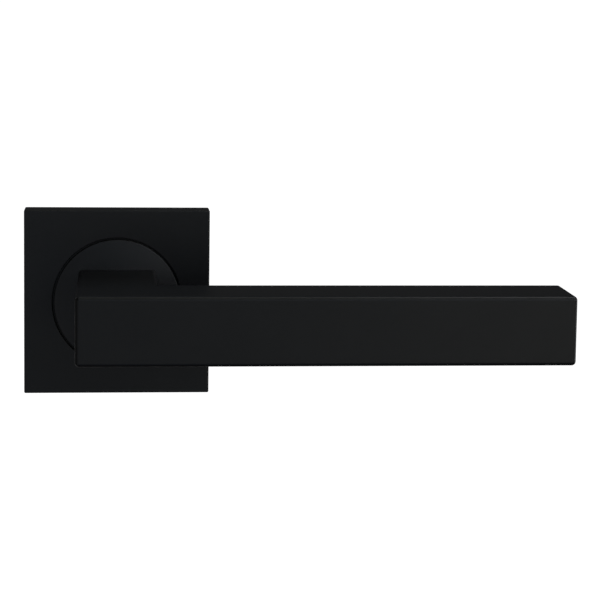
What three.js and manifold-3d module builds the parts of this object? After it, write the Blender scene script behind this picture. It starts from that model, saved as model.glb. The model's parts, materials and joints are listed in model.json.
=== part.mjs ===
// Lever handle on a square rose, one side of a door, in millimetres.
// The origin is on the spindle's axis at the door's face. +X runs along the grip, +Z is up,
// and -Y points out of the door, towards the hand.
import * as THREE from 'three';
import { mergeVertices } from 'three/addons/utils/BufferGeometryUtils.js';
import Module from 'manifold-3d';

const wasm = await Module();
wasm.setup();

// ---- driving dimensions ----
const roseSize = 52; // width and height of the square cover
const roseDepth = 8; // door face to the cover's front
const coverWall = 1.2;
const coverEdge = 0.4; // broken edge round the cover's front
const discDiameter = 35.4;
const discGap = 0.4; // ring-shaped gap between the disc and the cover
const discRim = 1.6; // thickness of the disc at its rim
const discCrown = 1.6; // how far the disc's middle stands proud of its rim
const discLip = 1.2; // how far the disc's thin lip reaches out behind the cover, to close the gap

const gripHeight = 18.4; // tube section, along Z
const gripDepth = 21.5; // tube section, along Y on the grip and along X on the neck
const tubeWall = 2;
const tubeEdge = 1.1; // outer corner radius of the tube
const gripReach = 120.1; // spindle axis to the tip of the grip
const projection = 50.4; // rose front to the front of the grip
const mitreGap = 0.3;
const neckInset = 0.5; // how deep the neck is let into the disc, below its rim
const capThickness = 2;
const capSpigot = 3;

const spindleSize = 8; // square bar
const spindleInside = 30; // how far it reaches into the neck, from the door's face
const spindleBehind = 55; // how far it stands out behind the rose
const hubWall = 2.2; // metal left outside the corners of the hub's square socket
const hubInside = 32; // door face to the hub's front end
const hubBehind = 3; // how far the journal stands out behind the door's face
const grubDiameter = 6;
const grubPlace = 20; // door face to the grub screw's axis

const plateThickness = 1.5;
const bushWall = 1.7;
const bushFlange = 0.55;
const collarWall = 1.5;
const driverThickness = 1;
const driverLugWidth = 3.3;
const wireDiameter = 1.2;
const stopPinDiameter = 2.5;
const turnAngle = 45; // travel of the lever, in degrees
const lugRestAngle = 202.5; // where the driver's lug stands at rest, seen from the front
const springStart = 30; // angle of the spring's fixed end

const boltSpacing = 38;
const boltDiameter = 4;
const boltHeadDiameter = 7.2;
const boltHeadHeight = 2.4;
const boltReach = 38; // door face to the bolt's tip
const sleeveDiameter = 7.4;
const sleeveReach = 8; // how far the support sleeves stand into the door

const clipThickness = 0.5;
const clipWidth = 9;
const bossSize = 6; // square corner bosses that back the cover
const ribWall = 1.2; // the plate's ribs for the clips
const ribInset = 2; // rib to the plate's edge
const washerThickness = 0.6;
const waveThickness = 0.3;
const waveHeight = 0.25;
const circlipThickness = 1;
const circlipWidth = 2.3;

// ---- clearances ----
const slip = 0.1; // between pieces that only have to go together
const running = 0.1; // radial play of the journal in its bush
const coverPlay = 0.2; // plate edge to the cover's inner wall
const springPlay = 0.2; // end coils to the plate and the driver
const coilPlay = 0.9; // coils to the collar inside them and the stop pins outside them
const lugPlay = 0.6; // driver's lug and clips to the plate
const clipPlay = 1.2; // top of a clip to the cover's front wall
const lipPlay = 0.15; // disc's lip to the cover's front wall

// ---- places worked out from the sizes above ----
const roseFront = -roseDepth;
const discBack = roseFront + discRim;
const driverFront = discBack + slip;
const driverBack = driverFront + driverThickness;
const plateFront = -plateThickness;
const bushFront = driverBack + slip;
const collarFront = bushFront + bushFlange + slip / 2;
const discRadius = discDiameter / 2;
const openingRadius = discRadius + discGap;
const lipFront = roseFront + coverWall + lipPlay;
const socketSize = spindleSize + 2 * slip;
const journalRadius = socketSize * Math.SQRT1_2 + hubWall;
const shoulderRadius = journalRadius + 2;
const bushBore = journalRadius + running;
const bushRadius = bushBore + bushWall;
const collarBore = bushRadius + slip;
const collarRadius = collarBore + collarWall;
const recessDepth = washerThickness + 2 * slip;
const coilRadius = collarRadius + coilPlay + wireDiameter / 2;
const stopRadius = coilRadius + wireDiameter / 2 + coilPlay + stopPinDiameter / 2;
const gripFront = roseFront - projection;
const gripMiddle = gripFront + gripDepth / 2;
const neckHalf = gripDepth / 2;
const neckEnd = roseFront + neckInset;
const plateHalf = roseSize / 2 - coverWall - coverPlay;
const stopPinAngle = THREE.MathUtils.radToDeg(
  (driverLugWidth / 2 + stopPinDiameter / 2 + slip) / stopRadius,
);
const restStopAngle = lugRestAngle + stopPinAngle;
const endStopAngle = lugRestAngle - turnAngle - stopPinAngle;
const coilBack = plateFront - springPlay - wireDiameter / 2;
const coilFront = driverBack + springPlay + wireDiameter / 2;
const coilPitchLeast = wireDiameter + 0.05;
const coilTurns = Math.max(1, Math.floor((4 * (coilBack - coilFront)) / coilPitchLeast)) / 4;
const springHole = wireDiameter / 2 + 3 * slip;
const ribFront = roseFront + coverWall + clipPlay + clipThickness + slip;
const ribOuter = plateHalf - ribInset;
const flatHalf = shoulderRadius - 1.5; // the driver's flats on the hub's shoulder
const grubBore = grubDiameter / 2 + slip;
const grooveDepth = 0.8;
const washerBack = -slip;
const waveMiddle = washerBack + slip / 2 + waveHeight + waveThickness / 2;
const circlipFront = waveMiddle + waveHeight + waveThickness / 2 + slip;
const washerBore = journalRadius + 2 * slip;
const boltHeights = [['upper', boltSpacing / 2], ['lower', -boltSpacing / 2]];
const sides = [['left', -1], ['right', 1]];
const round = 48; // sides of a turned piece
const small = 24; // sides of a small round piece

// ---- finishes ----
function finish(color, roughness, metalness) {
  return new THREE.MeshStandardMaterial({ color, roughness, metalness });
}

const blackCoat = () => finish(0x1b1b1c, 0.5, 0.3);
const zincPlate = () => finish(0xa9adb0, 0.4, 0.9);
const brightSteel = () => finish(0xb8babd, 0.3, 1);
const springSteel = () => finish(0x55585c, 0.35, 1);
const nylon = () => finish(0xe6e2d6, 0.6, 0);

// ---- solids and cuts ----
// A closed three.js geometry becomes a solid once its corners are shared and its faces point out.
function solid(geometry) {
  const bare = geometry.index ? geometry.toNonIndexed() : geometry.clone();
  bare.deleteAttribute('normal');
  bare.deleteAttribute('uv');
  const merged = mergeVertices(bare, 1e-4);
  const vertProperties = new Float32Array(merged.attributes.position.array);
  const corners = Array.from(merged.index.array);
  const triVerts = [];
  let volume = 0;
  const a = new THREE.Vector3();
  const b = new THREE.Vector3();
  const c = new THREE.Vector3();
  for (let i = 0; i < corners.length; i += 3) {
    const [p, q, r] = corners.slice(i, i + 3);
    if (p === q || q === r || r === p) continue;
    a.fromArray(vertProperties, 3 * p);
    b.fromArray(vertProperties, 3 * q);
    c.fromArray(vertProperties, 3 * r);
    volume += a.dot(b.cross(c));
    triVerts.push(p, q, r);
  }
  if (volume < 0) triVerts.reverse();
  return new wasm.Manifold(
    new wasm.Mesh({ numProp: 3, vertProperties, triVerts: new Uint32Array(triVerts) }),
  );
}

// A box between two values on each axis.
function block(x0, x1, y0, y1, z0, z1) {
  const box = new THREE.BoxGeometry(x1 - x0, y1 - y0, z1 - z0);
  box.translate((x0 + x1) / 2, (y0 + y1) / 2, (z0 + z1) / 2);
  return solid(box);
}

// A profile of [radius, y] points, closed on itself or on the axis, turned about the spindle's axis.
function turned(profile, sides = round) {
  const points = profile.map(([r, y]) => new THREE.Vector2(r, y));
  if (profile[0][0] > 0) points.push(points[0].clone());
  return solid(new THREE.LatheGeometry(points, sides));
}

function tubeRing(inner, outer, y0, y1, sides = round) {
  return turned([[inner, y0], [outer, y0], [outer, y1], [inner, y1]], sides);
}

// A round bar along Y at (x, z).
function rod(radius, y0, y1, x = 0, z = 0, sides = small) {
  const bar = new THREE.CylinderGeometry(radius, radius, y1 - y0, sides);
  bar.translate(x, (y0 + y1) / 2, z);
  return solid(bar);
}

// An outline in X and Z, given its depth along Y.
function slab(outline, y0, y1) {
  const options = { depth: y1 - y0, bevelEnabled: false, curveSegments: 4 };
  const body = new THREE.ExtrudeGeometry(outline, options);
  body.rotateX(Math.PI / 2);
  body.translate(0, y1, 0);
  return solid(body);
}

function roundedOutline(width, height, radius) {
  const w = width / 2;
  const h = height / 2;
  const outline = new THREE.Shape();
  outline.absarc(w - radius, h - radius, radius, 0, Math.PI / 2);
  outline.absarc(-w + radius, h - radius, radius, Math.PI / 2, Math.PI);
  outline.absarc(-w + radius, -h + radius, radius, Math.PI, 1.5 * Math.PI);
  outline.absarc(w - radius, -h + radius, radius, 1.5 * Math.PI, 2 * Math.PI);
  outline.closePath();
  return outline;
}

// Where a point stands on a circle seen from the front, with 0 at +X and 90 at +Z.
function onCircle(radius, degrees) {
  const angle = THREE.MathUtils.degToRad(degrees);
  return [radius * Math.cos(angle), radius * Math.sin(angle)];
}

// Turns a solid made at +X to stand at an angle seen from the front.
function swung(shape, degrees) {
  return shape.rotate([0, -degrees, 0]);
}

const handle = new THREE.Group();

function add(name, shape, material) {
  const { numProp, vertProperties, triVerts } = shape.getMesh();
  const position = new THREE.BufferAttribute(vertProperties, numProp);
  const geometry = new THREE.BufferGeometry().setAttribute('position', position);
  geometry.setIndex(new THREE.BufferAttribute(triVerts, 1));
  geometry.computeVertexNormals();
  const mesh = new THREE.Mesh(geometry, material);
  mesh.name = name;
  handle.add(mesh);
}

// ---- rose ----
// Square pressed cover, open at the back, with a round opening for the disc.
function roseCover() {
  const outline = roundedOutline(roseSize - 2 * coverEdge, roseSize - 2 * coverEdge, coverEdge);
  const outer = new THREE.ExtrudeGeometry(outline, {
    depth: roseDepth - coverEdge,
    bevelSize: coverEdge,
    bevelThickness: coverEdge,
    bevelSegments: 3,
    curveSegments: 3,
  });
  outer.rotateX(Math.PI / 2);
  const hollow = roseSize / 2 - coverWall;
  return solid(outer)
    .subtract(block(-roseSize, roseSize, 0, roseDepth, -roseSize, roseSize))
    .subtract(block(-hollow, hollow, roseFront + coverWall, roseDepth, -hollow, hollow))
    .subtract(rod(openingRadius, roseFront - 1, roseFront + 2 * coverWall, 0, 0, 96));
}

// Steel plate that carries the bush, the spring, the stops, the clips and the fixing bolts.
function mountingPlate() {
  let plate = slab(roundedOutline(2 * plateHalf, 2 * plateHalf, 1), plateFront, 0);
  plate = plate.add(rod(collarRadius, collarFront, plateFront + slip, 0, 0, round));
  const bossFront = roseFront + coverWall + slip;
  for (const x of [-1, 1]) {
    for (const z of [-1, 1]) {
      const inner = plateHalf - bossSize;
      const boss = block(inner, plateHalf - 1, bossFront, plateFront + slip, inner, plateHalf - 1);
      plate = plate.add(boss.scale([x, 1, 1]).scale([1, 1, z]));
    }
    const half = clipWidth / 2;
    const rib = block(ribOuter - ribWall, ribOuter, ribFront, plateFront + slip, -half, half);
    plate = plate.add(rib.scale([x, 1, 1]));
  }
  plate = plate.subtract(rod(collarBore, collarFront - 1, 1, 0, 0, round));
  plate = plate.subtract(rod(collarRadius, -recessDepth, 1, 0, 0, round));
  for (const [, z] of boltHeights) {
    plate = plate.subtract(rod(sleeveDiameter / 2 + slip, plateFront - 1, 1, 0, z));
  }
  for (const angle of [restStopAngle, endStopAngle]) {
    const [x, z] = onCircle(stopRadius, angle);
    plate = plate.subtract(rod(stopPinDiameter / 2 + slip, plateFront - 1, 1, x, z));
  }
  return plate.subtract(rod(springHole, plateFront - 1, 1, ...onCircle(coilRadius, springStart), 16));
}

// Flanged nylon bush that the hub's journal turns in.
function bearingBush() {
  return turned([
    [bushBore, -recessDepth - slip],
    [bushRadius, -recessDepth - slip],
    [bushRadius, collarFront - slip / 2],
    [collarRadius, collarFront - slip / 2],
    [collarRadius, bushFront],
    [bushBore, bushFront],
  ]);
}

// Torsion spring: coils between two short legs that stand along the spindle's axis.
class SpringLine extends THREE.Curve {
  constructor() {
    super();
    this.bend = wireDiameter * 0.8;
    this.leg = 0.3;
    this.coil = THREE.MathUtils.degToRad(360 * coilTurns);
    this.coilLength = this.coil * coilRadius;
    this.bendLength = (this.bend * Math.PI) / 2;
    this.whole = this.coilLength + 2 * (this.bendLength + this.leg);
  }

  // Angle and y of a point this far along one end, from where the coil begins.
  end(distance) {
    const turn = Math.min(distance, this.bendLength) / this.bend;
    const straight = Math.max(distance - this.bendLength, 0);
    return [(this.bend * Math.sin(turn)) / coilRadius, this.bend * (1 - Math.cos(turn)) + straight];
  }

  getPoint(t, target = new THREE.Vector3()) {
    const lead = this.bendLength + this.leg;
    const along = t * this.whole - lead;
    let angle = (THREE.MathUtils.clamp(along, 0, this.coilLength) / this.coilLength) * this.coil;
    let y = THREE.MathUtils.mapLinear(angle, 0, this.coil, coilBack, coilFront);
    if (along < 0) {
      const [sweep, rise] = this.end(-along);
      angle -= sweep;
      y += rise;
    }
    if (along > this.coilLength) {
      const [sweep, rise] = this.end(along - this.coilLength);
      angle += sweep;
      y -= rise;
    }
    angle += THREE.MathUtils.degToRad(springStart) + this.bend / coilRadius;
    return target.set(coilRadius * Math.cos(angle), y, coilRadius * Math.sin(angle));
  }
}

const springLine = new SpringLine();
const springEndPoint = springLine.getPoint(1);

function returnSpring() {
  const section = new THREE.Shape().absarc(0, 0, wireDiameter / 2, 0, 2 * Math.PI);
  const steps = 120;
  return solid(
    new THREE.ExtrudeGeometry(section, { extrudePath: springLine, steps, curveSegments: 4 }),
  );
}

// Pin that the driver's lug comes to rest on.
function stopPin(angle) {
  const [x, z] = onCircle(stopRadius, angle);
  return rod(stopPinDiameter / 2, driverBack + 4 * slip, -slip, x, z);
}

// A strip of sheet bent along a line of [x, y] points, standing across Z.
function bentStrip(line, thickness, width) {
  const near = [];
  const far = [];
  line.forEach(([x, y], i) => {
    const before = line[Math.max(i - 1, 0)];
    const after = line[Math.min(i + 1, line.length - 1)];
    const ahead = new THREE.Vector2(after[0] - before[0], after[1] - before[1]).normalize();
    near.push(new THREE.Vector2(x - (ahead.y * thickness) / 2, y + (ahead.x * thickness) / 2));
    far.push(new THREE.Vector2(x + (ahead.y * thickness) / 2, y - (ahead.x * thickness) / 2));
  });
  const strip = new THREE.ExtrudeGeometry(new THREE.Shape([...near, ...far.reverse()]), {
    depth: width,
    bevelEnabled: false,
  });
  strip.translate(0, 0, -width / 2);
  return solid(strip);
}

// Spring clip that straddles a rib of the plate and presses outwards on the cover's wall.
function coverClip(side) {
  const t = clipThickness;
  const inner = ribOuter - ribWall - slip - t / 2;
  const outer = ribOuter + slip + t / 2;
  const wall = roseSize / 2 - coverWall - slip / 2 - t / 2;
  const foot = plateFront - lugPlay;
  const crown = ribFront - slip - t / 2;
  const reach = foot - crown;
  const clip = bentStrip(
    [
      [inner, foot],
      [inner, crown + t],
      [inner + t / 2, crown],
      [outer - t / 2, crown],
      [outer + 0.1, crown + t],
      [wall, crown + 0.6 * reach],
      [outer + 0.2, foot],
    ],
    t,
    clipWidth - 1,
  );
  return side < 0 ? clip.rotate([0, 180, 0]) : clip;
}

// Steel sleeve pressed into the plate; it stands into the door and takes the turning load.
function supportSleeve(z) {
  const outer = rod(sleeveDiameter / 2, plateFront, sleeveReach, 0, z);
  return outer.subtract(rod(boltDiameter / 2 + 2 * slip, plateFront - 1, sleeveReach + 1, 0, z));
}

// Pan-head bolt with a cross recess.
function fixingBolt(z) {
  const seat = plateFront - slip;
  const top = seat - boltHeadHeight;
  const head = boltHeadDiameter / 2;
  const tip = 0.5;
  const bolt = turned(
    [
      [0, top],
      [head * 0.7, top],
      [head * 0.93, top + boltHeadHeight * 0.25],
      [head, top + boltHeadHeight * 0.6],
      [head, seat],
      [boltDiameter / 2, seat],
      [boltDiameter / 2, boltReach - tip],
      [boltDiameter / 2 - tip, boltReach],
      [0, boltReach],
    ],
    small,
  );
  const arm = boltHeadDiameter * 0.3;
  const slot = 0.5;
  const floor = top + boltHeadHeight * 0.6;
  const cross = block(-arm, arm, top - 1, floor, -slot, slot).add(
    block(-slot, slot, top - 1, floor, -arm, arm),
  );
  return bolt.subtract(cross).translate([0, 0, z]);
}

// ---- lever ----
// Section of the tube's bore, or of what fits in it with some clearance.
function boreOutline(width, height, clearance = 0) {
  const inset = 2 * (tubeWall + clearance);
  return roundedOutline(width - inset, height - inset, tubeEdge / 2);
}

function tubeOutline(width, height) {
  const outline = roundedOutline(width, height, tubeEdge);
  outline.holes.push(new THREE.Path(boreOutline(width, height).getPoints(4)));
  return outline;
}

// An outline in Z and Y on the grip, given its length along X.
function gripSlab(outline, x0, x1) {
  const options = { depth: x1 - x0, bevelEnabled: false, curveSegments: 4 };
  const body = new THREE.ExtrudeGeometry(outline, options);
  body.rotateY(Math.PI / 2);
  body.translate(x0, gripMiddle, 0);
  return solid(body);
}

// Everything on the grip's side of the mitre plane, which runs at 45 degrees through the elbow.
function mitreBlock(shift) {
  const size = 3 * (gripReach + projection);
  const cutter = new THREE.BoxGeometry(size, size, size);
  cutter.translate(size / 2, 0, 0);
  cutter.rotateZ(-Math.PI / 4);
  cutter.translate(-neckHalf + shift * Math.SQRT1_2, gripFront - shift * Math.SQRT1_2, 0);
  return solid(cutter);
}

// The outer shell of the grip, from the elbow to the cap.
function gripTube() {
  const tube = gripSlab(tubeOutline(gripHeight, gripDepth), -neckHalf, gripReach - capThickness - slip);
  return tube.intersect(mitreBlock(mitreGap / 2));
}

function grubHole() {
  const hole = new THREE.CylinderGeometry(grubBore, grubBore, gripHeight, small);
  hole.rotateX(Math.PI / 2);
  hole.translate(0, -grubPlace, -gripHeight / 2);
  return solid(hole);
}

// The short tube between the disc and the elbow, drilled below for the grub screw.
function neckTube() {
  const tube = slab(tubeOutline(gripDepth, gripHeight), gripFront, neckEnd);
  return tube.subtract(mitreBlock(-mitreGap / 2)).subtract(grubHole());
}

// Cap let into the end of the grip.
function gripCap() {
  const inner = gripReach - capThickness;
  const cap = gripSlab(roundedOutline(gripHeight, gripDepth, tubeEdge), inner, gripReach);
  return cap.add(gripSlab(boreOutline(gripHeight, gripDepth, slip), inner - capSpigot, inner + slip));
}

// Crowned disc that closes the cover's opening and turns with the lever.
function flangeDisc() {
  const crownSphere = (discRadius ** 2 + discCrown ** 2) / (2 * discCrown);
  const edge = 0.3;
  const profile = [
    [0, discBack],
    [discRadius + discLip, discBack],
    [discRadius + discLip, lipFront],
    [discRadius, lipFront],
    [discRadius, roseFront + edge],
  ];
  const rings = 6;
  for (let i = 0; i <= rings; i += 1) {
    const r = ((discRadius - edge) * (rings - i)) / rings;
    profile.push([r, roseFront - discCrown + crownSphere - Math.sqrt(crownSphere ** 2 - r ** 2)]);
  }
  const pocketX = neckHalf + slip;
  const pocketZ = gripHeight / 2 + slip;
  return turned(profile, 72)
    .subtract(block(-pocketX, pocketX, roseFront - 2 * discCrown, neckEnd + slip, -pocketZ, pocketZ))
    .subtract(rod(shoulderRadius + slip, neckEnd, discBack + 1, 0, 0, round));
}

// Steel hub: a block inside the neck, a shoulder with two flats, and the journal behind it.
function hub() {
  const groove = circlipFront - slip;
  const grooveEnd = circlipFront + circlipThickness + slip;
  const grooveRadius = journalRadius - grooveDepth;
  const chamfer = 0.4;
  const plug = slab(boreOutline(gripDepth, gripHeight, slip), -hubInside, neckEnd + slip);
  const shoulder = rod(shoulderRadius, neckEnd + slip, discBack, 0, 0, round);
  const keyed = rod(shoulderRadius, discBack - slip, driverBack, 0, 0, round).intersect(
    block(-gripDepth, gripDepth, discBack - slip, driverBack, -flatHalf, flatHalf),
  );
  const journal = turned([
    [0, driverBack - 1],
    [journalRadius, driverBack - 1],
    [journalRadius, groove],
    [grooveRadius, groove],
    [grooveRadius, grooveEnd],
    [journalRadius, grooveEnd],
    [journalRadius, hubBehind - chamfer],
    [journalRadius - chamfer, hubBehind],
    [0, hubBehind],
  ]);
  const half = socketSize / 2;
  return plug
    .add(shoulder)
    .add(keyed)
    .add(journal)
    .subtract(block(-half, half, -hubInside - 1, hubBehind + 1, -half, half))
    .subtract(grubHole());
}

// Steel plate keyed on the hub's flats; its lug meets the stop pins and it holds the spring's leg.
function driverPlate() {
  const outer = coilRadius + wireDiameter / 2 + 1;
  const hole = rod(shoulderRadius + slip, driverFront - 1, driverBack + 1, 0, 0, round).intersect(
    block(-gripDepth, gripDepth, driverFront - 1, driverBack + 1, -flatHalf - slip, flatHalf + slip),
  );
  const half = driverLugWidth / 2;
  const lugInner = stopRadius - stopPinDiameter / 2 + 2 * slip;
  const lugOuter = stopRadius + stopPinDiameter / 2;
  const arm = block(coilRadius, lugOuter, driverFront, driverBack, -half, half);
  const lug = block(lugInner, lugOuter, driverFront, plateFront - lugPlay, -half, half);
  return rod(outer, driverFront, driverBack, 0, 0, round)
    .add(swung(arm.add(lug), lugRestAngle))
    .subtract(hole)
    .subtract(rod(springHole, driverFront - 1, driverBack + 1, springEndPoint.x, springEndPoint.z, 16));
}

// Square spindle that turns the latch.
function spindle() {
  const half = spindleSize / 2;
  const chamfer = 0.8;
  const bar = new THREE.CylinderGeometry(1, 1, spindleInside + spindleBehind, 4);
  bar.rotateY(Math.PI / 4);
  bar.scale(half * Math.SQRT2, 1, half * Math.SQRT2);
  bar.translate(0, (spindleBehind - spindleInside) / 2, 0);
  const corner = half * Math.SQRT2 - 0.35;
  const turnedDown = turned([
    [0, -spindleInside],
    [corner - chamfer, -spindleInside],
    [corner, chamfer - spindleInside],
    [corner, spindleBehind - chamfer],
    [corner - chamfer, spindleBehind],
    [0, spindleBehind],
  ]);
  return solid(bar).intersect(turnedDown);
}

// Grub screw from below that locks the spindle in the hub, with a hexagon socket.
function grubScrew() {
  const bottom = -gripHeight / 2 + 0.3;
  const top = -spindleSize / 2 - slip;
  const screw = new THREE.CylinderGeometry(grubDiameter / 2, grubDiameter / 2, top - bottom, small);
  const socket = new THREE.CylinderGeometry(grubDiameter * 0.29, grubDiameter * 0.29, top - bottom, 6);
  socket.translate(0, (bottom - top) * 0.4, 0);
  for (const shape of [screw, socket]) {
    shape.rotateX(Math.PI / 2);
    shape.translate(0, -grubPlace, (top + bottom) / 2);
  }
  return solid(screw).subtract(solid(socket));
}

// Plain washer in the plate's recess; it and the next two keep the journal in the plate.
function thrustWasher() {
  return tubeRing(washerBore, collarRadius - 2 * slip, washerBack - washerThickness, washerBack);
}

// Washer with three waves, which takes up the play.
function waveWasher() {
  const half = waveThickness / 2;
  const ring = tubeRing(washerBore, collarRadius - 6 * slip, waveMiddle - half, waveMiddle + half);
  return ring.warp((corner) => {
    corner[1] += waveHeight * Math.cos(3 * Math.atan2(corner[2], corner[0]));
  });
}

// Circlip with two eyes beside its gap.
function circlip() {
  const inner = journalRadius - grooveDepth + slip;
  const outer = inner + circlipWidth;
  const gap = THREE.MathUtils.degToRad(24);
  const outline = new THREE.Shape();
  outline.absarc(0, 0, outer, Math.PI / 2 + gap, Math.PI / 2 - gap + 2 * Math.PI);
  outline.absarc(0, 0, inner, Math.PI / 2 - gap, Math.PI / 2 + gap - 2 * Math.PI, true);
  outline.closePath();
  const ring = new THREE.ExtrudeGeometry(outline, {
    depth: circlipThickness,
    bevelEnabled: false,
    curveSegments: 20,
  });
  ring.rotateX(Math.PI / 2);
  ring.translate(0, circlipFront + circlipThickness, 0);
  let clip = solid(ring);
  const eye = circlipWidth * 0.6;
  for (const side of [-1, 1]) {
    const [x, z] = onCircle(inner + eye, 90 + side * (THREE.MathUtils.radToDeg(gap) + 8));
    clip = clip.add(rod(eye, circlipFront, circlipFront + circlipThickness, x, z, 16));
    clip = clip.subtract(rod(eye * 0.5, circlipFront - 1, circlipFront + 2, x, z, 12));
  }
  return clip;
}

// ---- assembly ----
add('rose_cover', roseCover(), blackCoat());
add('mounting_plate', mountingPlate(), zincPlate());
add('bearing_bush', bearingBush(), nylon());
add('return_spring', returnSpring(), springSteel());
add('stop_pin_rest', stopPin(restStopAngle), brightSteel());
add('stop_pin_end', stopPin(endStopAngle), brightSteel());
for (const [side, sign] of sides) {
  add(`cover_clip_${side}`, coverClip(sign), springSteel());
}
for (const [level, z] of boltHeights) {
  add(`support_sleeve_${level}`, supportSleeve(z), brightSteel());
  add(`fixing_bolt_${level}`, fixingBolt(z), zincPlate());
}

add('grip_tube', gripTube(), blackCoat());
add('neck_tube', neckTube(), blackCoat());
add('grip_cap', gripCap(), blackCoat());
add('flange_disc', flangeDisc(), blackCoat());
add('hub', hub(), brightSteel());
add('driver_plate', driverPlate(), zincPlate());
add('spindle', spindle(), brightSteel());
add('grub_screw', grubScrew(), springSteel());
add('thrust_washer', thrustWasher(), brightSteel());
add('wave_washer', waveWasher(), springSteel());
add('circlip', circlip(), springSteel());

export default handle;
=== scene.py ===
# Door lever handle on a square rose: its looks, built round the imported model.
import json
import math

import bmesh
import bpy
from mathutils import Matrix, Vector


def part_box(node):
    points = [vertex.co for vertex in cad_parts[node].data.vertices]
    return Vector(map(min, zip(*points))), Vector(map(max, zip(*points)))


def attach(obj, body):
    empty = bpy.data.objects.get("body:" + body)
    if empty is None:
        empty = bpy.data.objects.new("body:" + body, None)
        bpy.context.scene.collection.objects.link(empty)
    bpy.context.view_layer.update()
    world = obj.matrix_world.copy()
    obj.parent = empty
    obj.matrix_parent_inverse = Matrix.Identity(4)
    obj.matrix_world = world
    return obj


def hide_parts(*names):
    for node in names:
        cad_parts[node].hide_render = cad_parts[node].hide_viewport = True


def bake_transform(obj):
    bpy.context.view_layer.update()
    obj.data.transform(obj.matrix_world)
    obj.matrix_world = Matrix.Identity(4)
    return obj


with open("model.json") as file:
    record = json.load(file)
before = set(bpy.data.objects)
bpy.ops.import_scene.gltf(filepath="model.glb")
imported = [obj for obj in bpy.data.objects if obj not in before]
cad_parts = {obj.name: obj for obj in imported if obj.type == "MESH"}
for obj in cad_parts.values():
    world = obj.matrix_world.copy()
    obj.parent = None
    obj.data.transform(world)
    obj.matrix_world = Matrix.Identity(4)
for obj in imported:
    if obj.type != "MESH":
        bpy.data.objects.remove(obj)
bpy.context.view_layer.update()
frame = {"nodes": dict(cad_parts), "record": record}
nodes = frame["nodes"]
scene = bpy.context.scene
mm = 0.001
tiny = 0.0005 * mm
print("frame loaded:", len(nodes), "nodes")


# a long lens, a little above the grip
cameraSetup = {
    "place": (0, -0.558, 0.08616),
    "lens": 117.99,
    "turn": 4.991,  # degrees to the right
    "dip": 6.192,  # degrees down
    "roll": 0.735,
    "shift": (0.02, -0.15),
}


def makeCamera():
    p = cameraSetup
    data = bpy.data.cameras.new("productCamera")
    data.sensor_width = 36
    data.lens = p["lens"]
    data.shift_x, data.shift_y = p["shift"]
    data.clip_start, data.clip_end = 0.01, 100
    camera = bpy.data.objects.new("productCamera", data)
    scene.collection.objects.link(camera)
    camera.matrix_world = (
        Matrix.Translation(p["place"])
        @ Matrix.Rotation(math.radians(-p["turn"]), 4, "Z")
        @ Matrix.Rotation(math.radians(90 - p["dip"]), 4, "X")
        @ Matrix.Rotation(math.radians(p["roll"]), 4, "Z")
    )
    scene.camera = camera


def toLinear(code):
    # an sRGB hex colour such as "1a1b1c" as linear values with full alpha
    parts = [int(code[i:i + 2], 16) / 255 for i in (0, 2, 4)]
    return [p / 12.92 if p <= 0.04045 else ((p + 0.055) / 1.055) ** 2.4 for p in parts] + [1]


def addNode(tree, kind, sets=None, links=None, **settings):
    # one node with its own settings, its socket values, and what feeds its sockets
    node = tree.nodes.new(kind)
    for key, value in settings.items():
        setattr(node, key, value)
    for key, value in (sets or {}).items():
        node.inputs[key].default_value = value
    for key, source in (links or {}).items():
        tree.links.new(source, node.inputs[key])
    return node


def newMaterial(name, **sets):
    material = bpy.data.materials.new(name)
    material.use_nodes = True
    shader = material.node_tree.nodes["Principled BSDF"]
    for key, value in sets.items():
        shader.inputs[key].default_value = value
    return material, material.node_tree, shader


middle = {"From Min": 0.35, "From Max": 0.65}  # the part of its range that a noise mostly stays in


def layFinish(tree, shader, p, drift, bumps, shine=None):
    # colour drifts with one noise and roughness with another, and each bump lies on the one before
    share = addNode(tree, "ShaderNodeMapRange", middle, {"Value": drift}).outputs["Result"]
    tones = {6: toLinear(p["deep"]), 7: toLinear(p["pale"])}
    mixed = addNode(tree, "ShaderNodeMix", tones, {0: share}, data_type="RGBA")
    tree.links.new(mixed.outputs[2], shader.inputs["Base Color"])
    if shine:
        low, high = p["roughness"]
        ends = {**middle, "To Min": low, "To Max": high}
        rough = addNode(tree, "ShaderNodeMapRange", ends, {"Value": shine})
        tree.links.new(rough.outputs["Result"], shader.inputs["Roughness"])
    feeds = {}
    for noise, height in bumps:
        feeds["Height"] = noise
        feeds["Normal"] = addNode(tree, "ShaderNodeBump", {"Distance": height}, feeds).outputs["Normal"]
    tree.links.new(feeds["Normal"], shader.inputs["Normal"])


# Satin black polyester powder, sprayed on and baked: it hardly scatters any light, so what the eye
# gets is a soft broad sheen, a trace of orange peel, and a very fine grain close up.
coat = {
    "deep": "050506",
    "pale": "0a0a0b",
    "roughness": (0.37, 0.43),
    "cloud": 11 * mm,  # slow changes in the coat's thickness
    "peel": 1.8 * mm,
    "grain": 0.35 * mm,  # the real grain is near 0.08 mm, drawn coarser so that it shows
    "peelHeight": 0.006 * mm,
    "grainHeight": 0.0025 * mm,
}


def blackPowderCoat():
    p = coat
    material, tree, shader = newMaterial("satinBlackPowderCoat")
    where = addNode(tree, "ShaderNodeTexCoord").outputs["Object"]
    cloud, peel, grain = [
        addNode(
            tree, "ShaderNodeTexNoise", {"Scale": 1 / p[size], "Detail": detail}, {"Vector": where},
        ).outputs["Fac"]
        for size, detail in (("cloud", 3), ("peel", 1), ("grain", 2))
    ]
    layFinish(tree, shader, p, cloud, ((peel, p["peelHeight"]), (grain, p["grainHeight"])), grain)
    return material


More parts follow.
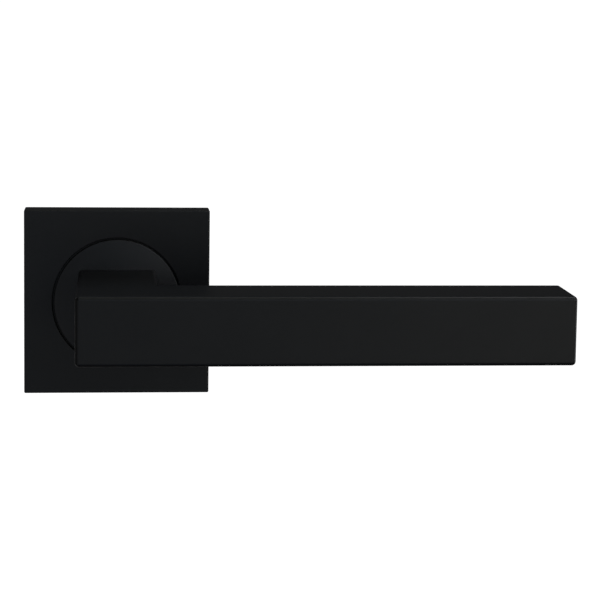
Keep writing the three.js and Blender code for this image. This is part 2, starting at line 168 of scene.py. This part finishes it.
# metals with faint stains and fine marks, the marks drawn coarser than real so that they show
metals = {
    # Bright zinc plating on pressed steel: cool grey and a little cloudy.
    "zincPlatedSteel": {
        "deep": "989ea4", "pale": "c2c7cc", "roughness": (0.25, 0.42), "stain": 5 * mm,
        "marks": 0.5 * mm, "stretch": (1, 1, 0.3), "height": 0.004 * mm,
    },
    # Cold-drawn bar: long fine lines along the spindle's axis, really about 0.1 mm apart.
    "coldDrawnSteel": {
        "deep": "9d9ea1", "pale": "c4c4c7", "roughness": (0.2, 0.38), "stain": 8 * mm,
        "marks": 0.35 * mm, "stretch": (1, 0.05, 1), "height": 0.006 * mm,
    },
    # Oiled spring steel: blue-black with brown in it.
    "oiledSpringSteel": {
        "deep": "2a2827", "pale": "4b4e55", "roughness": (0.28, 0.46), "stain": 3 * mm,
        "marks": 0.3 * mm, "stretch": (1, 1, 1), "height": 0.003 * mm,
    },
}


def workedMetal(name):
    p = metals[name]
    material, tree, shader = newMaterial(name, Metallic=1)
    where = addNode(tree, "ShaderNodeTexCoord").outputs["Object"]
    along = addNode(tree, "ShaderNodeMapping", {"Scale": p["stretch"]}, {"Vector": where}).outputs["Vector"]
    marks = addNode(
        tree, "ShaderNodeTexNoise", {"Scale": 1 / p["marks"], "Detail": 4}, {"Vector": along},
    ).outputs["Fac"]
    stain = addNode(
        tree, "ShaderNodeTexNoise", {"Scale": 1 / p["stain"], "Detail": 5}, {"Vector": where},
    ).outputs["Fac"]
    layFinish(tree, shader, p, stain, ((marks, p["height"]),), marks)
    return material


# Unfilled polyamide 6 as moulded: milky, waxy and slightly cloudy.
nylon = {
    "deep": "d8d2c0",
    "pale": "ece8dd",
    "roughness": 0.48,
    "milk": 0.25,  # share of light that passes under the surface
    "depth": 1.2 * mm,
    "cloud": 3 * mm,
    "height": 0.01 * mm,
}


def naturalNylon():
    p = nylon
    material, tree, shader = newMaterial("naturalNylon", Roughness=p["roughness"], IOR=1.53)
    shader.inputs["Subsurface Weight"].default_value = p["milk"]
    shader.inputs["Subsurface Scale"].default_value = p["depth"]
    where = addNode(tree, "ShaderNodeTexCoord").outputs["Object"]
    cloud = addNode(
        tree, "ShaderNodeTexNoise", {"Scale": 1 / p["cloud"], "Detail": 3}, {"Vector": where},
    ).outputs["Fac"]
    layFinish(tree, shader, p, cloud, ((cloud, p["height"]),))
    return material


finishes = {
    "black_coat": blackPowderCoat(),
    "zinc_plate": workedMetal("zincPlatedSteel"),
    "bright_steel": workedMetal("coldDrawnSteel"),
    "spring_steel": workedMetal("oiledSpringSteel"),
    "nylon": naturalNylon(),
}
slotOf = {row["node"]: row["material_slot"] for row in frame["record"]["subparts"]}
bodyOf = {n: body for body, group in frame["record"]["behaviour"]["bodies"].items() for n in group}
print("materials made:", len(finishes))


def vertsOf(geom):
    return [part for part in geom if isinstance(part, bmesh.types.BMVert)]


def sharperThan(bm, degrees, test):
    limit = math.radians(degrees)
    return [e for e in bm.edges if len(e.link_faces) == 2 and e.calc_face_angle() > limit and test(e)]


def bevelEdges(bm, edges, width, segments):
    bmesh.ops.bevel(
        bm, geom=edges, offset=width, offset_type="OFFSET", segments=segments, profile=0.5,
        affect="EDGES", material=-1,
    )


def turnProfile(bm, profile, steps, close=True):
    # (radius, y) points turned round the spindle's axis
    verts = [bm.verts.new((r, y, 0)) for r, y in profile]
    pairs = list(zip(verts, verts[1:])) + ([(verts[-1], verts[0])] if close else [])
    geom = verts + [bm.edges.new(pair) for pair in pairs]
    bmesh.ops.spin(
        bm, geom=geom, cent=(0, 0, 0), axis=(0, 1, 0), angle=2 * math.pi, steps=steps, use_merge=True,
    )
    bmesh.ops.remove_doubles(bm, verts=bm.verts[:], dist=tiny)


def makeMesh(bm, name, smoothBelow=30):
    bmesh.ops.recalc_face_normals(bm, faces=bm.faces[:])
    mesh = bpy.data.meshes.new(name)
    bm.to_mesh(mesh)
    bm.free()
    mesh.shade_smooth()
    mesh.set_sharp_from_angle(angle=math.radians(smoothBelow))
    return mesh


def makePiece(mesh, *replaced, bevel=0):
    # a piece that stands for one or more nodes, in their finish and on their body
    piece = bpy.data.objects.new(mesh.name, mesh)
    scene.collection.objects.link(piece)
    slot = slotOf[replaced[0]]
    mesh.materials.clear()
    mesh.materials.append(finishes[slot])
    if bevel:
        edge = piece.modifiers.new("brokenEdges", "BEVEL")
        edge.width = bevel
        edge.segments = 2
        edge.limit_method = "ANGLE"
        edge.angle_limit = math.radians(40)
        edge.harden_normals = True
    else:
        even = piece.modifiers.new("evenNormals", "WEIGHTED_NORMAL")
        even.keep_sharp = True
    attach(piece, bodyOf[replaced[0]])
    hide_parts(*replaced)
    return piece


# pressed square shell with a round opening
coverShape = {
    "wall": 1.2 * mm,
    "opening": 18.1 * mm,
    "sides": 144,  # round the opening
    "edge": 0.4 * mm,
    "mouth": 0.25 * mm,
}


def roseCover():
    p = coverShape
    low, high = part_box("rose_cover")
    half = high.x
    bm = bmesh.new()
    bmesh.ops.create_circle(bm, segments=p["sides"], radius=p["opening"])
    square = bmesh.ops.create_circle(bm, segments=4, radius=half * math.sqrt(2))["verts"]
    bmesh.ops.rotate(bm, verts=square, matrix=Matrix.Rotation(math.radians(45), 3, "Z"))
    outline = list({e for v in square for e in v.link_edges})
    bmesh.ops.subdivide_edges(bm, edges=outline, cuts=p["sides"] // 4 - 1)
    bmesh.ops.bridge_loops(bm, edges=bm.edges[:])
    bmesh.ops.rotate(bm, verts=bm.verts[:], matrix=Matrix.Rotation(math.radians(90), 3, "X"))
    bmesh.ops.translate(bm, verts=bm.verts[:], vec=(0, low.y, 0))
    rim = [e for e in bm.edges if e.is_boundary and e.verts[0].co.length > half]
    grown = bmesh.ops.extrude_edge_only(bm, edges=rim)["geom"]
    bmesh.ops.translate(bm, verts=vertsOf(grown), vec=(0, high.y - low.y, 0))
    bmesh.ops.recalc_face_normals(bm, faces=bm.faces[:])
    bmesh.ops.solidify(bm, geom=bm.faces[:], thickness=p["wall"])
    outside = lambda v: max(abs(v.co.x), abs(v.co.z)) > half - tiny
    bevelEdges(bm, sharperThan(
        bm, 60, lambda e: all(map(outside, e.verts)) and min(v.co.y for v in e.verts) < high.y - tiny,
    ), p["edge"], 4)
    atMouth = lambda v: math.hypot(v.co.x, v.co.z) < p["opening"] + tiny and v.co.y < low.y + tiny
    bevelEdges(bm, sharperThan(bm, 60, lambda e: all(map(atMouth, e.verts))), p["mouth"], 3)
    return makePiece(makeMesh(bm, "roseCover"), "rose_cover")


# crowned, with a thin gap round it, and turning with the lever
discShape = {
    "crown": 1.6 * mm,
    "rim": 1.6 * mm,
    "lip": 1.2 * mm,  # thin lip behind the cover, which closes the gap from view
    "lipThickness": 0.25 * mm,
    "edge": 0.3 * mm,
    "edgeSteps": 6,
    "rings": 16,
    "sides": 160,
    "front": 8.6 * mm,  # opening under the neck
    "shoulder": 10.1 * mm,  # wider behind, where the hub's shoulder stands
    "skin": 0.55 * mm,  # rim's front to the shoulder
}


def flangeDisc():
    p = discShape
    low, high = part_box("flange_disc")
    radius = high.x - p["lip"]
    rimFront = high.y - p["rim"]
    lipFront = high.y - p["lipThickness"]
    sphere = (radius ** 2 + p["crown"] ** 2) / (2 * p["crown"])
    crownAt = lambda r: rimFront - p["crown"] + sphere - math.sqrt(sphere ** 2 - r ** 2)
    corner = radius - p["edge"]
    profile = [
        (p["front"], rimFront + p["skin"]), (p["shoulder"], rimFront + p["skin"]),
        (p["shoulder"], high.y), (high.x, high.y), (high.x, lipFront), (radius, lipFront),
    ]
    for i in range(p["edgeSteps"]):
        turn = math.radians(90 * i / p["edgeSteps"])
        profile.append((
            corner + p["edge"] * math.cos(turn), crownAt(corner) + p["edge"] * (1 - math.sin(turn)),
        ))
    for i in range(p["rings"] + 1):
        r = corner + (p["front"] - corner) * i / p["rings"]
        profile.append((r, crownAt(r)))
    bm = bmesh.new()
    turnProfile(bm, profile, p["sides"])
    return makePiece(makeMesh(bm, "flangeDisc"), "flange_disc")


# grip, neck and end cap, welded, ground flush and coated as one
leverShape = {
    "wall": 2 * mm,
    "edge": 1.1 * mm,
    "edgeSteps": 6,
    "grubBore": 3.1 * mm,
    "grubSides": 48,
}


def drilled(mesh, place, radius, depth, sides):
    # cuts a round hole along Z and gives back the mesh that is left
    bm = bmesh.new()
    bmesh.ops.create_cone(
        bm, cap_ends=True, segments=sides, radius1=radius, radius2=radius, depth=depth,
        matrix=Matrix.Translation(place),
    )
    drillMesh = bpy.data.meshes.new("drill")
    bm.to_mesh(drillMesh)
    bm.free()
    drill = bpy.data.objects.new("drill", drillMesh)
    work = bpy.data.objects.new("work", mesh)
    for item in (drill, work):
        scene.collection.objects.link(item)
    cut = work.modifiers.new("cut", "BOOLEAN")
    cut.operation = "DIFFERENCE"
    cut.solver = "EXACT"
    cut.object = drill
    graph = bpy.context.evaluated_depsgraph_get()
    left = bpy.data.meshes.new_from_object(work.evaluated_get(graph))
    left.name = mesh.name
    for item in (drill, work):
        bpy.data.objects.remove(item)
    return left


def leverShell():
    p = leverShape
    neckLow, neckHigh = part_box("neck_tube")
    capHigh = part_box("grip_cap")[1]
    bm = bmesh.new()
    bmesh.ops.create_cube(bm, size=1)
    bmesh.ops.scale(bm, verts=bm.verts[:], vec=neckHigh - neckLow)
    bmesh.ops.translate(bm, verts=bm.verts[:], vec=(neckLow + neckHigh) / 2)
    everything = bm.verts[:] + bm.edges[:] + bm.faces[:]
    bmesh.ops.bisect_plane(bm, geom=everything, plane_co=(0, capHigh.y, 0), plane_no=(0, 1, 0))
    side = [f for f in bm.faces if f.normal.x > 0.9 and f.calc_center_median().y < capHigh.y]
    grown = bmesh.ops.extrude_face_region(bm, geom=side)["geom"]
    bmesh.ops.delete(bm, geom=side, context="FACES")
    bmesh.ops.translate(bm, verts=vertsOf(grown), vec=(capHigh.x - neckHigh.x, 0, 0))
    bmesh.ops.dissolve_limit(bm, angle_limit=math.radians(1), verts=bm.verts[:], edges=bm.edges[:])
    root = [f for f in bm.faces if f.normal.y > 0.9 and f.calc_center_median().y > neckHigh.y - mm]
    bmesh.ops.delete(bm, geom=root, context="FACES_ONLY")
    bmesh.ops.recalc_face_normals(bm, faces=bm.faces[:])
    bmesh.ops.solidify(bm, geom=bm.faces[:], thickness=p["wall"])
    outside = lambda v: abs(v.co.z) > neckHigh.z - tiny
    bevelEdges(bm, sharperThan(
        bm, 60, lambda e: all(map(outside, e.verts)) and min(v.co.y for v in e.verts) < neckHigh.y - tiny,
    ), p["edge"], p["edgeSteps"])
    mesh = makeMesh(bm, "leverShell")
    grubLow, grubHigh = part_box("grub_screw")
    place = (0, (grubLow.y + grubHigh.y) / 2, neckLow.z)
    mesh = drilled(mesh, place, p["grubBore"], 2.5 * p["wall"], p["grubSides"])
    mesh.set_sharp_from_angle(angle=math.radians(30))
    return makePiece(mesh, "grip_tube", "neck_tube", "grip_cap")


# seen from below, with a hexagon socket
grubShape = {"sides": 24, "key": 3.0 * mm, "socket": 2.6 * mm, "edge": 0.18 * mm}


def grubScrew():
    p = grubShape
    low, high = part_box("grub_screw")
    middle = (low + high) / 2
    radius = (high.y - low.y) / 2
    bm = bmesh.new()
    bmesh.ops.create_circle(bm, segments=p["sides"], radius=radius)
    hexagon = bmesh.ops.create_circle(bm, segments=6, radius=p["key"] / math.sqrt(3))["verts"]
    outline = list({e for v in hexagon for e in v.link_edges})
    bmesh.ops.subdivide_edges(bm, edges=outline, cuts=p["sides"] // 6 - 1)
    bmesh.ops.bridge_loops(bm, edges=bm.edges[:])
    for inside, reach in ((True, p["socket"]), (False, high.z - low.z)):
        loop = [
            e for e in bm.edges
            if e.is_boundary and e.verts[0].co.z < tiny and (e.verts[0].co.length < radius - tiny) == inside
        ]
        wall = bmesh.ops.extrude_edge_only(bm, edges=loop)["geom"]
        bmesh.ops.translate(bm, verts=vertsOf(wall), vec=(0, 0, reach))
        end = [part for part in wall if isinstance(part, bmesh.types.BMEdge)]
        bmesh.ops.contextual_create(bm, geom=end)
    bmesh.ops.translate(bm, verts=bm.verts[:], vec=(0, middle.y, low.z))
    return makePiece(makeMesh(bm, "grubScrew"), "grub_screw", bevel=p["edge"])


# pan head, plain shank, rolled thread
boltShape = {
    "radius": 2 * mm,
    "head": 3.6 * mm,
    "headHeight": 2.4 * mm,
    "pitch": 0.7 * mm,
    "threadDepth": 0.38 * mm,
    "threadFrom": 9 * mm,  # plain shank in the sleeve, thread behind it
    "rings": 8,  # rings of points in each turn of thread
    "sides": 24,
    "tip": 1.2 * mm,  # length of the pointed end
    "tipCut": 0.5 * mm,  # how much thinner the very end is
    "headFlat": 0.6,  # share of the head's width that is flat
    "headCrown": 0.55,  # share of its height that is rounded
    "headEdge": 0.2 * mm,
}


def fixingBolt(level):
    p = boltShape
    node = "fixing_bolt_" + level
    low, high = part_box(node)
    seat = low.y + p["headHeight"]
    flat = p["head"] * p["headFlat"]
    crown = p["headHeight"] * p["headCrown"]
    profile = [(0, low.y), (flat, low.y)]
    for angle in (20, 40, 60, 80):
        turn = math.radians(angle)
        profile.append((
            flat + (p["head"] - flat) * math.sin(turn), low.y + crown * (1 - math.cos(turn)),
        ))
    profile += [(p["head"], seat - p["headEdge"]), (p["head"] - p["headEdge"], seat), (p["radius"], seat)]
    step = p["pitch"] / p["rings"]
    count = int((high.y - p["threadFrom"]) / step)
    profile += [(p["radius"], p["threadFrom"] + i * step) for i in range(count)] + [(0, high.y)]
    bm = bmesh.new()
    turnProfile(bm, profile, p["sides"], close=False)
    for vert in bm.verts:
        behind = vert.co.y - p["threadFrom"]
        if behind < 0 or math.hypot(vert.co.x, vert.co.z) < p["radius"] / 2:
            continue
        turn = math.atan2(vert.co.z, vert.co.x) / (2 * math.pi)
        phase = (behind / p["pitch"] + turn) % 1
        groove = p["threadDepth"] * abs(2 * phase - 1) * min(1, behind / p["pitch"])
        taper = max(0, vert.co.y - (high.y - p["tip"])) / p["tip"]
        factor = (p["radius"] - groove - p["tipCut"] * taper) / p["radius"]
        vert.co.x *= factor
        vert.co.z *= factor
    bmesh.ops.translate(bm, verts=bm.verts[:], vec=(0, 0, (low.z + high.z) / 2))
    return makePiece(makeMesh(bm, "fixingBolt" + level.title(), 50), node)


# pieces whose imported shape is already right: the same mesh with its edges broken
brokenEdge = {
    "mounting_plate": 0.15 * mm,
    "hub": 0.12 * mm,
    "spindle": 0.2 * mm,
    "support_sleeve_upper": 0.2 * mm,
    "support_sleeve_lower": 0.2 * mm,
    "thrust_washer": 0.08 * mm,
    "wave_washer": 0.05 * mm,
    "circlip": 0.12 * mm,
    "driver_plate": 0.12 * mm,
    "bearing_bush": 0.1 * mm,
    "stop_pin_rest": 0.15 * mm,
    "stop_pin_end": 0.15 * mm,
    "cover_clip_left": 0.06 * mm,
    "cover_clip_right": 0.06 * mm,
}


def mergedCopy(node):
    first, *rest = node.split("_")
    bm = bmesh.new()
    bm.from_mesh(nodes[node].data)
    bmesh.ops.remove_doubles(bm, verts=bm.verts[:], dist=tiny)
    bmesh.ops.dissolve_limit(bm, angle_limit=math.radians(0.5), verts=bm.verts[:], edges=bm.edges[:])
    return makeMesh(bm, first + "".join(word.title() for word in rest))


# the return spring, whose one end stays with the rose and whose other end turns with the lever; here its
# merged copy is baked in place and joins neither body
def returnSpring():
    mesh = mergedCopy("return_spring")
    piece = bpy.data.objects.new(mesh.name, mesh)
    scene.collection.objects.link(piece)
    mesh.materials.clear()
    mesh.materials.append(finishes["spring_steel"])
    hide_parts("return_spring")
    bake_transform(piece)


# white surround, and soft boxes on a sphere round the handle, all aimed at its middle
studio = {
    "aim": (0.045, -0.03, 0),  # middle of the handle
    "distance": 2,  # soft box to aim, in metres
    "boxSize": 1.1,
    "surround": 0.031,  # what the object mirrors between the soft boxes
    "floorDrop": 0.9,
    "floorSize": 12,
    "glow": 1.05,  # of the backdrop and the floor, just past white
}
# turn from the front towards the grip's tip and lift, both in degrees, then watts and tint
softBoxes = {
    "frontLow": (0, -12, 0.44, "daecff"),
    "frontLeft": (-25, -12, 1.05, "eef4ff"),
    "frontRight": (25, -12, 1.86, "fffdf3"),
    "frontBelow": (0, -48, 0.6, "b4d2ff"),
    "frontHigh": (0, 18, 1.5, "dfeeff"),
    "frontHighRight": (35, 22, 5.1, "f3f8ff"),
    "frontSteep": (0, 55, 0.67, "fafff1"),
    "above": (0, 88, 1.5, "f7fff9"),
    "aboveRight": (90, 62, 7.8, "fcfcff"),
    "right": (88, 0, 5.03, "f7faff"),
    "left": (-88, 0, 0.42, "f4f8ff"),
    "behind": (180, 10, 0.03, "ffffff"),
    "behindHigh": (180, 42, 0.24, "cfe6ff"),
    "behindLowLeft": (-160, -24, 1.6, "ffffff"),
    "behindLowRight": (160, -24, 1.6, "ffffff"),
    "sideLowLeft": (-45, -28, 0.7, "ffffff"),
    "sideLowRight": (132, -25, 2, "ffffff"),
    "backLeft": (-135, 28, 0.8, "f4f8ff"),
}


def makeStudio():
    p = studio
    world = bpy.data.worlds.new("whiteStudio")
    world.use_nodes = True
    scene.world = world
    tree = world.node_tree
    tree.nodes.clear()
    white = toLinear("ffffff")
    seen = addNode(tree, "ShaderNodeLightPath").outputs["Is Camera Ray"]
    surround = addNode(tree, "ShaderNodeBackground", {"Color": white, "Strength": p["surround"]})
    backdrop = addNode(tree, "ShaderNodeBackground", {"Color": white, "Strength": p["glow"]})
    mixed = addNode(
        tree, "ShaderNodeMixShader",
        links={0: seen, 1: surround.outputs["Background"], 2: backdrop.outputs["Background"]},
    )
    addNode(tree, "ShaderNodeOutputWorld", links={"Surface": mixed.outputs["Shader"]})
    scene.view_settings.view_transform = "Standard"
    for name, (turn, lift, watts, tint) in softBoxes.items():
        data = bpy.data.lights.new(name, "AREA")
        data.shape = "SQUARE"
        data.size = p["boxSize"]
        data.energy = watts
        data.color = toLinear(tint)[:3]
        box = bpy.data.objects.new(name, data)
        scene.collection.objects.link(box)
        turned, lifted = math.radians(turn), math.radians(lift)
        way = Vector((
            math.sin(turned) * math.cos(lifted), -math.cos(turned) * math.cos(lifted), math.sin(lifted),
        ))
        box.location = Vector(p["aim"]) + way * p["distance"]
        box.rotation_euler = way.to_track_quat("Z", "Y").to_euler()
        box.visible_camera = False


def makeFloor():
    # a lit sheet of opal acrylic, far enough below to take no shadow
    p = studio
    bm = bmesh.new()
    bmesh.ops.create_grid(
        bm, x_segments=8, y_segments=8, size=p["floorSize"],
        matrix=Matrix.Translation((0, 0, -p["floorDrop"])),
    )
    mesh = bpy.data.meshes.new("litFloor")
    bm.to_mesh(mesh)
    bm.free()
    floor = bpy.data.objects.new("litFloor", mesh)
    scene.collection.objects.link(floor)
    material, tree, shader = newMaterial("litOpalAcrylic", Roughness=0.6)
    shader.inputs["Base Color"].default_value = toLinear("f8f8f8")
    shader.inputs["Emission Color"].default_value = toLinear("ffffff")
    shader.inputs["Emission Strength"].default_value = p["glow"]
    mesh.materials.append(material)
    floor.visible_diffuse = False
    floor.visible_glossy = False
    floor.visible_shadow = False


makeCamera()
makeStudio()
makeFloor()
print("camera and studio made")
roseCover()
flangeDisc()
leverShell()
grubScrew()
print("coated pieces made")
for level in ("upper", "lower"):
    fixingBolt(level)
for node, width in brokenEdge.items():
    makePiece(mergedCopy(node), node, bevel=width)
returnSpring()
print("works made")
